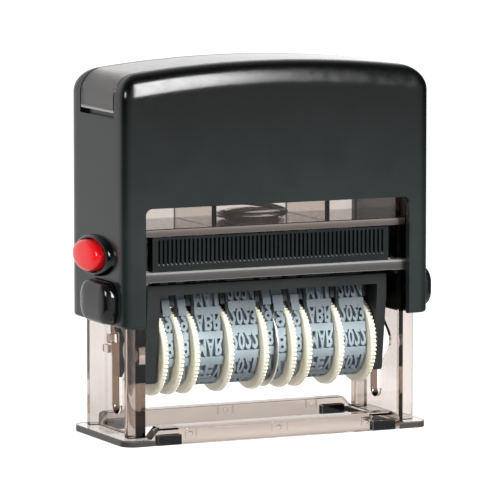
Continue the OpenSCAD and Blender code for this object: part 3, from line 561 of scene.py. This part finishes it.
def finish_piece(piece, finishes, body, angle=40):
    """Scales to metres, shades smooth with sharp edges kept, and hands the piece to its body."""
    bake(piece)
    piece.data.transform(Matrix.Scale(MM, 4))
    piece.data.materials.clear()
    for finish in finishes:
        piece.data.materials.append(finish)
    piece.data.shade_smooth()
    piece.data.set_sharp_from_angle(angle=math.radians(angle))
    weigh = piece.modifiers.new("shading", "WEIGHTED_NORMAL")
    weigh.keep_sharp = True
    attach(piece, body)


# The cap.

def superellipse(angle, power):
    """Point of a rounded square of half size one at an angle."""
    c, s = math.cos(angle), math.sin(angle)
    reach = (abs(c) ** power + abs(s) ** power) ** (-1 / power)
    return reach * c, reach * s


def cap_stations():
    """Places round the cap: centre of the rolling ball and angle of the wall there."""
    a, b = CAP_X - ROLL, CAP_Y - ROLL
    quarter = math.pi / 2
    step = quarter / CAP_STEPS_CORNER
    out = []
    for x, y, start in ((-a, -b, -quarter), (a, b, quarter)):
        out += [(x - 2 * x * k / CAP_STEPS_X, y, start) for k in range(CAP_STEPS_X)]
        out += [(-x, y, start + step * k) for k in range(CAP_STEPS_CORNER + 1)]
        out += [(-x, -y, start + quarter + step * k) for k in range(CAP_STEPS_CORNER)]
    return out


def wall_ring(stations, r, z):
    """A level ring round the cap's wall."""
    ring = []
    for cx, cy, angle in stations:
        hx, hy = superellipse(angle, CORNER_POWER)
        ring.append(Vector((cx + r * hx, cy + r * hy, z)))
    return ring


def roll_ring(stations, r, arch, share):
    """A ring on the rolled edge, at a share of the way from the wall's top to the crown."""
    power = CORNER_POWER + (ROUND_POWER - CORNER_POWER) * share ** 2
    ring = []
    for cx, cy, angle in stations:
        hx, hy = superellipse(angle, power)
        tilt = cx / arch
        top = Vector((tilt, 0, math.sqrt(1 - tilt * tilt)))
        centre = Vector((cx, cy, CAP_TOP - ARCH_R + math.sqrt(arch * arch - cx * cx)))
        turn = math.acos(math.cos(angle) * tilt)
        side_share = math.sin((1 - share) * turn) / math.sin(turn)
        top_share = math.sin(share * turn) / math.sin(turn)
        ring.append(centre + r * (side_share * Vector((hx, hy, 0)) + top_share * top))
    return ring


def cap_form(name, inset, roof, low, hem=0.0):
    """The cap as a full block: rounded hem, upright walls, rolled edges and an arched top."""
    r = ROLL - inset
    arch = ARCH_R - roof - r
    stations = cap_stations()
    edge = arc(hem, hem, hem, 270, 180, HEM_STEPS) if hem else [(0, 0)]
    rings = [wall_ring(stations, r - back, low + up) for back, up in edge]
    rings += [roll_ring(stations, r, arch, layer / CAP_LAYERS) for layer in range(CAP_LAYERS + 1)]
    count = len(stations)
    faces = ring_faces(len(rings), count)
    faces.append(tuple(reversed(range(count))))
    front = (len(rings) - 1) * count
    back_end = front + 2 * CAP_STEPS_X + 2 * CAP_STEPS_CORNER + 1
    for k in range(CAP_STEPS_X):
        faces.append((front + k, front + k + 1, back_end - k - 1, back_end - k))
    return raw_object(name, [point for ring in rings for point in ring], faces)


def arch_outline(inset, low):
    """Front outline of the cap from one side over the crown to the other, made smaller all round."""
    r = ROLL - inset
    outer = ARCH_R - inset
    cx = CAP_X - ROLL
    cz = math.sqrt((outer - r) ** 2 - cx * cx) + CAP_TOP - ARCH_R
    lean = math.degrees(math.asin(cx / (outer - r)))
    right = [(CAP_X - inset, low)] + arc(cx, cz, r, 0, 90 - lean, ROLL_STEPS)
    over = arc(0, CAP_TOP - ARCH_R, outer, 90 - lean, 90 + lean, CROWN_STEPS)[1:-1]
    left = [(-x, z) for x, z in reversed(right)]
    return right + over + left


def window_tool():
    """Cutter for the two openings between the legs."""
    x, z, r = WINDOW_X, WINDOW_TOP, WINDOW_R
    outline = [(-x, CAP_LOW - BEYOND), (x, CAP_LOW - BEYOND)]
    outline += arc(x - r, z - r, r, 0, 90, WINDOW_STEPS)
    outline += arc(r - x, z - r, r, 90, 180, WINDOW_STEPS)
    return prism_y("window_tool", outline, -CAP_Y - BEYOND, CAP_Y + BEYOND)


def recess_tool():
    """Cutter for the recess of the index window."""
    x, z = CAP_X + BEYOND, CAP_TOP + BEYOND
    outline = arch_outline(RECESS_DEEP, RECESS_LOW)
    outline += [(-x, RECESS_LOW), (-x, z), (x, z), (x, RECESS_LOW)]
    return prism_y("recess_tool", outline, -RECESS_Y, RECESS_Y)


def hollow_tool():
    """The cap's inside, narrower at the top, where the walls are thick."""
    hollow = cap_form("hollow_tool", CAP_WALL, CAP_ROOF, CAP_LOW - BEYOND)
    y, z = CAP_Y + BEYOND, CAP_TOP + BEYOND
    carve(hollow, [box_tool("upper_tool", s * UPPER_IN, s * (CAP_X + BEYOND), -y, y, UPPER_Z, z)
                   for s in (-1, 1)])
    return hollow


def side_outline(growth, steps):
    """Outline of a side button, grown all round."""
    length, height = SIDE_LEN + 2 * growth, SIDE_H + 2 * growth
    return round_outline(SIDE_Y, SIDE_Z, length, height, max(SIDE_R + growth, SIDE_LEAST_R), steps)


def side_tools(s):
    """Cutters in one side: the trunnion's bore, the side button's pocket and its stem's bore."""
    inside, outside = s * (SHOE_IN - BEYOND), s * (CAP_X + BEYOND)
    bore = circle(0, PIVOT_Z, TRUNNION_R + BORE_ROOM, BORE_STEPS)
    stem = circle(STEM_Y, SIDE_Z, STEM_R + BORE_ROOM, STEM_STEPS)
    return [prism_x("bore_tool", bore, inside, s * BORE_END),
            prism_x("pocket_tool", side_outline(POCKET_ROOM, POCKET_STEPS), s * POCKET_X, outside),
            prism_x("stem_bore_tool", stem, inside, s * CAP_X)]


def lock_tools():
    """Cutters for the groove that the frame's wedge runs in, on the left, and for the lock button."""
    groove = box_tool("groove_tool", -GROOVE_X, BEYOND - SHOE_IN, GROOVE_Y0, GROOVE_Y1,
                      CAP_LOW - BEYOND, SHOE_TOP + BEYOND)
    opening = oval(LOCK_Y, LOCK_Z, LOCK_A + LOCK_ROOM, LOCK_B + LOCK_ROOM, OPENING_STEPS)
    return [groove, prism_x("lock_tool", opening, -CAP_X - BEYOND, CAP_WALL + BEYOND - CAP_X)]


def cap_shell(mat):
    """The black cap: shell with windows, guide shoes and openings for the buttons."""
    piece = cap_form("cap_body", 0, 0, CAP_LOW, CAP_HEM)
    carve(piece, [hollow_tool()])
    wall = CAP_X - CAP_WALL / 2
    shoes = [box_tool("shoe_tool", s * SHOE_IN, s * wall, -SHOE_Y, SHOE_Y, CAP_LOW, SHOE_TOP)
             for s in (-1, 1)]
    carve(piece, shoes, "UNION")
    carve(piece, [window_tool(), recess_tool()] + side_tools(-1) + side_tools(1) + lock_tools())
    soften(piece, CAP_EDGE, angle=38)
    finish_piece(piece, [mat["cap"]], "cap")
    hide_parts("cap_shell")


# The buttons and the index window.

def side_loft(name, outlines, profile, sign, ends):
    """A skin through outlines of (y, z) points that stand out of a side as far as a profile says."""
    rings = [[(sign * (CAP_X + out), y, z) for y, z in outline]
             for outline, (growth, out) in zip(outlines, profile)]
    return loft(name, rings, ends)


def lock_collar(mat):
    """The raised rounded collar round the lock button."""
    a, b = LOCK_A + LOCK_ROOM, LOCK_B + LOCK_ROOM
    outlines = [oval(LOCK_Y, LOCK_Z, a + (COLLAR_A - a) * share, b + (COLLAR_B - b) * share, LOCK_STEPS)
                for share, out in COLLAR_PROFILE]
    piece = side_loft("lock_collar", outlines, COLLAR_PROFILE, -1, ends=False)
    finish_piece(piece, [mat["gloss"]], "cap", angle=60)


def lock_button(mat):
    """The red oval button, slightly domed, and its catch bar behind the wall."""
    outlines = [oval(LOCK_Y, LOCK_Z, LOCK_A * share, LOCK_B * share, LOCK_STEPS)
                for share, out in LOCK_PROFILE]
    piece = side_loft("lock_button_red", outlines, LOCK_PROFILE, -1, ends=True)
    finish_piece(piece, [mat["red"]], "lock", angle=70)
    half = LOCK_A + CATCH_REACH
    bar = box_tool("lock_bar", CATCH_X0, CATCH_X1, LOCK_Y - half, LOCK_Y + half, CATCH_Z0, CATCH_Z1)
    soften(bar, CATCH_EDGE)
    finish_piece(bar, [mat["red"]], "lock")
    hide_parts("lock_button")


def side_button(mat, sign, body, node):
    """One black side button: a rounded lozenge with a crowned face and a stem."""
    outlines = [side_outline(growth, SIDE_STEPS) for growth, out in SIDE_PROFILE]
    piece = side_loft(node + "_crowned", outlines, SIDE_PROFILE, sign, ends=True)
    stem = circle(STEM_Y, SIDE_Z, STEM_R, STEM_STEPS)
    carve(piece, [prism_x("stem_tool", stem, sign * STEM_X0, sign * STEM_X1)], "UNION")
    finish_piece(piece, [mat["gloss"]], body, angle=60)
    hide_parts(node)


def index_section():
    """Section of the index window: (y, share of its depth) from one lower edge over to the other."""
    e = INDEX_EDGE
    half = [(-INDEX_Y, 1.0), (-INDEX_Y, e / INDEX_T)]
    half += [(-INDEX_Y + e - e * math.cos(turn), (e - e * math.sin(turn)) / INDEX_T)
             for turn in INDEX_TURNS]
    return half + [(-y, depth) for y, depth in reversed(half)]


def index_strip(mat):
    """The clear index window bent over the crown, with rounded edges."""
    section = index_section()
    rings = []
    for (xo, zo), (xi, zi) in zip(arch_outline(0, INDEX_LOW), arch_outline(INDEX_T, INDEX_LOW)):
        rings.append([(xo + (xi - xo) * depth, y, zo + (zi - zo) * depth) for y, depth in section])
    piece = loft("index_strip", rings)
    soften(piece, INDEX_CORNER, angle=50, segments=4)
    finish_piece(piece, [mat["index"]], "index", angle=50)
    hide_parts("index_window")


# The wheels. The left date has each rim left of its band, and the right date right of it.

def unit_x(i):
    """Left end of a wheel and its band."""
    return STACK_X + sum(UNITS[:i]) + (0 if i < LEFT_COUNT else DISC_T)


def rim_x(i):
    """Left face of a wheel's rim."""
    if i < LEFT_COUNT:
        return unit_x(i) + UNIT_GAP / 2
    return unit_x(i) + UNITS[i] - UNIT_GAP / 2 - RIM_T


def wheel_ring(x, r, share):
    """A ring of a wheel, dented by a share of the teeth's depth."""
    around = TEETH * TOOTH_STEPS
    ring = []
    for k in range(around):
        angle = 2 * math.pi * k / around
        dip = TOOTH_H * (0.5 + 0.5 * math.cos(TEETH * angle))
        reach = r - share * dip
        ring.append((x, reach * math.cos(angle), AXLE_Z + reach * math.sin(angle)))
    return ring


def thumbwheel(mat, i):
    """One ivory thumbwheel: smooth shoulder, toothed rim, flat faces, drum and bore."""
    left = rim_x(i)
    right = left + RIM_T
    rim = [(left + x, WHEEL_R - drop, share) for x, drop, share in RIM_PROFILE]
    if i < LEFT_COUNT:
        end = unit_x(i) + UNITS[i] - UNIT_GAP / 2
        drum = [(right, DRUM_R, 0), (end, DRUM_R, 0), (end, WHEEL_BORE, 0)]
        rows = [(left, WHEEL_BORE, 0)] + rim + drum
    else:
        end = unit_x(i) + UNIT_GAP / 2
        drum = [(end, WHEEL_BORE, 0), (end, DRUM_R, 0), (left, DRUM_R, 0)]
        rows = drum + rim + [(right, WHEEL_BORE, 0)]
    rings = [wheel_ring(*row) for row in rows]
    piece = loft("wheel_%d_toothed" % (i + 1), rings, ends=False, joined=True)
    finish_piece(piece, [mat["ivory"]], "wheel_%d" % (i + 1), angle=50)
    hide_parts("thumbwheel_%d" % (i + 1))


# The bands.

class Loop:
    """The line that a band follows, measured on its outer face from the top towards the back."""

    def __init__(self):
        """An arc over the bridge and an arc round the wheel, joined by two straight runs."""
        reach = math.hypot(TOP_Z - AXLE_Z, TOP_Y)
        self.turn = math.atan2(TOP_Z - AXLE_Z, TOP_Y) - math.acos((BELT_R - TOP_R) / reach)
        self.run = math.sqrt(reach ** 2 - (BELT_R - TOP_R) ** 2)
        self.top_r, self.low_r = TOP_R + BELT_T, BELT_R + BELT_T
        self.arc_top = self.top_r * (math.pi / 2 - self.turn)
        self.arc_low = self.low_r * (math.pi / 2 + self.turn)
        self.half = TOP_Y + self.arc_top + self.run + self.arc_low

    def back(self, s):
        """Place and outward angle on the back half."""
        if s < TOP_Y:
            return s, TOP_Z + self.top_r, math.pi / 2
        s -= TOP_Y
        if s < self.arc_top:
            a = math.pi / 2 - s / self.top_r
            return TOP_Y + self.top_r * math.cos(a), TOP_Z + self.top_r * math.sin(a), a
        s -= self.arc_top
        if s < self.run:
            c, n = math.cos(self.turn), math.sin(self.turn)
            return TOP_Y + self.top_r * c + s * n, TOP_Z + self.top_r * n - s * c, self.turn
        a = self.turn - (s - self.run) / self.low_r
        return self.low_r * math.cos(a), AXLE_Z + self.low_r * math.sin(a), a

    def at(self, s, height):
        """(y, z) at a height over the outer face."""
        s %= 2 * self.half
        if s <= self.half:
            y, z, a = self.back(s)
        else:
            y, z, a = self.back(2 * self.half - s)
            y, a = -y, math.pi - a
        return y + height * math.cos(a), z + height * math.sin(a)


LOOP = Loop()


def band_x(i):
    """Left edge of a band."""
    return unit_x(i) + (RIM_T + UNIT_GAP if i < LEFT_COUNT else UNIT_GAP / 2)


def band_w(i):
    """Width of a band: what the rim and the gaps leave of a unit."""
    return UNITS[i] - RIM_T - 1.5 * UNIT_GAP


def band_section(x0, x1, s, low, high):
    """Section of the belt, or of a plate on it, at a place along the loop."""
    return [(x, *LOOP.at(s, h)) for x, h in ((x0, low), (x1, low), (x1, high), (x0, high))]


def belt(x0, x1):
    """The plain band as a closed loop."""
    verts = []
    for k in range(BELT_STEPS):
        verts += band_section(x0, x1, 2 * LOOP.half * k / BELT_STEPS, -BELT_T, 0)
    return verts, ring_faces(BELT_STEPS, 4, joined=True)


def plate(x0, x1, s0, s1, high):
    """A curved plate on the band, closed on all sides."""
    verts = []
    for k in range(ROW_STEPS + 1):
        verts += band_section(x0, x1, s0 + (s1 - s0) * k / ROW_STEPS, ROW_ROOT, high)
    return verts, ring_faces(ROW_STEPS + 1, 4) + end_faces(ROW_STEPS + 1, 4)


def font_mesh(letter):
    """The flat outline of one character in Blender's own font, as drawn."""
    curve = bpy.data.curves.new("letter", "FONT")
    curve.body = letter
    curve.resolution_u = GLYPH_CURVE_STEPS
    curve.offset = GLYPH_BOLD
    curve.fill_mode = "FRONT"
    shape = bpy.data.objects.new("letter", curve)
    bpy.context.scene.collection.objects.link(shape)
    bpy.context.view_layer.update()
    deps = bpy.context.evaluated_depsgraph_get()
    mesh = bpy.data.meshes.new_from_object(shape.evaluated_get(deps))
    bpy.data.objects.remove(shape)
    return mesh


@functools.cache
def letter_parts(letter):
    """Points, faces and border edges of one character in a unit box, cut into level strips."""
    mesh = font_mesh(letter)
    form = bmesh.new()
    form.from_mesh(mesh)
    bpy.data.meshes.remove(mesh)
    bmesh.ops.remove_doubles(form, verts=form.verts, dist=WELD)
    xs = [v.co.x for v in form.verts]
    ys = [v.co.y for v in form.verts]
    wide, tall = max(xs) - min(xs), max(ys) - min(ys)
    for v in form.verts:
        v.co = Vector(((v.co.x - min(xs)) / wide, (v.co.y - min(ys)) / tall, 0))
    for k in range(1, GLYPH_LEVELS):
        everything = form.verts[:] + form.edges[:] + form.faces[:]
        level = (0, k / GLYPH_LEVELS, 0)
        bmesh.ops.bisect_plane(form, geom=everything, plane_co=level, plane_no=(0, 1, 0))
    form.verts.index_update()
    spots = [(v.co.x, v.co.y) for v in form.verts]
    tops = [tuple(v.index for v in face.verts) for face in form.faces]
    borders = [tuple(v.index for v in edge.verts) for edge in form.edges if edge.is_boundary]
    form.free()
    return spots, tops, borders


def letter_block(letter, left, wide, start, length):
    """One raised character on the band: its top faces and its walls."""
    spots, tops, borders = letter_parts(letter)
    verts = []
    for height in (GLYPH_H, GLYPH_ROOT):
        verts += [(left + x * wide, *LOOP.at(-(start + y * length), height)) for x, y in spots]
    n = len(spots)
    return verts, tops + [(a, b, n + b, n + a) for a, b in borders]


def word_blocks(word, x0, width, start, length):
    """The raised characters of one row, side by side across the band."""
    cell = (width - 2 * WORD_MARGIN - LETTER_GAP * (len(word) - 1)) / len(word)
    blocks = []
    for k, letter in enumerate(word):
        wide = cell * NARROW.get(letter, 1)
        left = x0 + WORD_MARGIN + k * (cell + LETTER_GAP) + (cell - wide) / 2
        blocks.append(letter_block(letter, left, wide, start, length))
    return blocks


def row_parts(i, row, word):
    """A row's bar and characters, or its blank plate."""
    x0, width = band_x(i), band_w(i)
    pitch = 2 * LOOP.half / ROWS
    start = row * pitch + ROW_SHIFTS[i]
    first, last, high = (BAR_START, BAR_END, BAR_H) if word else (BLANK_START, BLANK_END, BLANK_H)
    parts = [plate(x0 + ROW_INSET, x0 + width - ROW_INSET,
                   -(start + first * pitch), -(start + last * pitch), high)]
    if word:
        parts += word_blocks(word, x0, width, start + TEXT_START * pitch, TEXT_SHARE * pitch)
    return parts


def date_band(mat, i):
    """One band: the belt, and for every row a plate and raised characters that read in a mirror."""
    verts, faces = belt(band_x(i), band_x(i) + band_w(i))
    marks = [BELT_GAP_SHADE_FINISH] * len(faces)
    for row, word in enumerate(BAND_WORDS[i]):
        for spots, polys in row_parts(i, row, word):
            base = len(verts)
            verts += spots
            faces += [tuple(base + k for k in poly) for poly in polys]
            marks += [GLYPH_FINISH] * len(polys)
    piece = raw_object("band_%d_raised" % (i + 1), verts, faces, weld=False)
    for face, mark in zip(piece.data.polygons, marks):
        face.material_index = mark
    finish_piece(piece, [mat["band"], mat["glyph"]], "carrier", angle=35)
    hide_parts("date_band_%d" % (i + 1))


# The spring.

def coil_height(turn):
    """Height of the wire's middle after a number of turns. The first and last turn lie closed."""
    low, high = COIL_LOW + WIRE_R, COIL_HIGH - WIRE_R
    closed = COIL_PACK * 2 * WIRE_R
    if turn < 1:
        return low + closed * turn
    if turn > COIL_TURNS - 1:
        return high - closed * (COIL_TURNS - turn)
    share = (turn - 1) / (COIL_TURNS - 2)
    return low + closed + (high - low - 2 * closed) * share


def return_spring(mat):
    """Round wire wound with closed ends."""
    rings = []
    for k in range(COIL_TURNS * COIL_STEPS + 1):
        turn = k / COIL_STEPS
        angle = 2 * math.pi * turn
        section = circle(COIL_R, coil_height(turn), WIRE_R, WIRE_SIDES)
        rings.append([(r * math.cos(angle), r * math.sin(angle), z) for r, z in section])
    piece = loft("return_coil", rings)
    finish_piece(piece, [mat["spring"]], "frame", angle=60)
    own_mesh(piece)
    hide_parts("return_spring")


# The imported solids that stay.

def dress(node, material, edge):
    """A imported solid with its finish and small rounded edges."""
    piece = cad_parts[node]
    piece.data.materials.clear()
    piece.data.materials.append(material)
    join = piece.modifiers.new("join", "WELD")
    join.merge_threshold = JOIN_REACH * MM
    flat = piece.modifiers.new("flat", "DECIMATE")
    flat.decimate_type = "DISSOLVE"
    flat.angle_limit = math.radians(FLAT_ANGLE)
    soften(piece, edge * MM, ROUND_ANGLE, segments=2)
    weigh = piece.modifiers.new("shading", "WEIGHTED_NORMAL")
    weigh.keep_sharp = False


def dress_all(mat):
    """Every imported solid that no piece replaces."""
    dress("foot_frame", mat["smoke"], edge=0.14)
    dress("body_frame", mat["smoke"], edge=0.16)
    for k in range(1, 5):
        dress("rubber_foot_%d" % k, mat["rubber"], edge=0.12)
    dress("ink_pad_tray", mat["tray"], edge=0.07)
    dress("ink_pad_felt", mat["felt"], edge=0.1)
    dress("band_carrier", mat["carrier"], edge=0.18)
    dress("print_bridge", mat["carrier"], edge=0.1)
    for node in ("wheel_axle", "axle_clip_left", "axle_clip_right", "separator_disc"):
        dress(node, mat["steel"], edge=0.04)


# Light, floor and camera.

def floor():
    """A plain pale round floor that glows into the backdrop, and that the object doesn't mirror."""
    rim = circle(0, 0, FLOOR_R, FLOOR_STEPS)
    piece = raw_object("studio_floor", [(x, y, 0) for x, y in rim], [tuple(range(len(rim)))])
    piece.data.transform(Matrix.Scale(MM, 4))
    mat = new_material("floor_paper")
    tint(mat, noise(mat, grain=40, detail=2), (0.33, 0.33, 0.33), (0.37, 0.37, 0.37))
    rough(mat, noise(mat, grain=3, detail=3), low=0.8, high=0.95)
    socket_of(mat, "Specular IOR Level").default_value = 0.1
    socket_of(mat, "Emission Color").default_value = (1, 1, 1, 1)
    socket_of(mat, "Emission Strength").default_value = FLOOR_GLOW
    piece.data.materials.append(mat)
    piece.visible_diffuse = False
    piece.visible_glossy = False


def lamp(name, place, target, size, power):
    """A soft rectangular light that looks at a target, in metres and watts."""
    data = bpy.data.lights.new(name, "AREA")
    data.shape = "RECTANGLE"
    data.size, data.size_y = size
    data.energy = power
    light = bpy.data.objects.new(name, data)
    light.location = place
    light.rotation_euler = (Vector(target) - Vector(place)).to_track_quat("-Z", "Y").to_euler()
    bpy.context.scene.collection.objects.link(light)


def studio():
    """A white backdrop behind, a dim room, a pale ground below and two soft boxes."""
    world = bpy.data.worlds.new("studio")
    bpy.context.scene.world = world
    world.use_nodes = True
    tree = world.node_tree
    place = split_place(tree, "Generated")
    axes = (("Y", BACK_STOPS), ("X", SIDE_STOPS), ("Z", HEIGHT_STOPS), ("Z", GROUND_STOPS))
    back, side, height, ground = [grey_ramp(tree, stops, spread(tree, place[axis], -1, 1))
                                  for axis, stops in axes]
    room = blend(tree, "MULTIPLY", back, side)
    room = blend(tree, "MULTIPLY", room, height)
    room = blend(tree, "LIGHTEN", room, ground)
    tree.links.new(room, tree.nodes["Background"].inputs["Color"])
    tree.nodes["Background"].inputs["Strength"].default_value = ROOM_LIGHT
    lamp("front_box", place=(0.235, -0.54, 0.63), target=(0.215, 0, 0.04), size=(0.17, 0.86), power=13.5)
    lamp("left_box", place=(-0.66, -0.12, 0.42), target=(0, 0, 0.03), size=(0.3, 0.3), power=4.0)


def camera():
    """The photograph's viewpoint, found from the cap's edges."""
    a, e = math.radians(CAMERA_TURN), math.radians(CAMERA_TILT)
    look = Vector((math.sin(a) * math.cos(e), math.cos(a) * math.cos(e), -math.sin(e)))
    right = Vector((math.cos(a), -math.sin(a), 0))
    up = right.cross(look)
    eye = Vector(CAMERA_AIM) - look * CAMERA_DISTANCE - CAMERA_DROP * up - CAMERA_SLIP * right
    data = bpy.data.cameras.new("photo_camera")
    data.lens, data.sensor_width = CAMERA_LENS, CAMERA_SENSOR
    data.clip_start, data.clip_end = 0.01, 20
    view = bpy.data.objects.new("photo_camera", data)
    turn = Matrix((right, up, -look)).transposed().to_4x4()
    view.matrix_world = Matrix.Translation(eye * MM) @ turn
    bpy.context.scene.collection.objects.link(view)
    bpy.context.scene.camera = view


def build():
    """Sets the stage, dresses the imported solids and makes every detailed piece."""
    camera()
    studio()
    floor()
    bpy.context.scene.view_settings.view_transform = "Standard"
    mat = materials()
    dress_all(mat)
    cap_shell(mat)
    lock_collar(mat)
    lock_button(mat)
    side_button(mat, -1, "button_left", "side_button_left")
    side_button(mat, 1, "button_right", "side_button_right")
    index_strip(mat)
    for i in range(len(UNITS)):
        thumbwheel(mat, i)
        date_band(mat, i)
    return_spring(mat)


build()
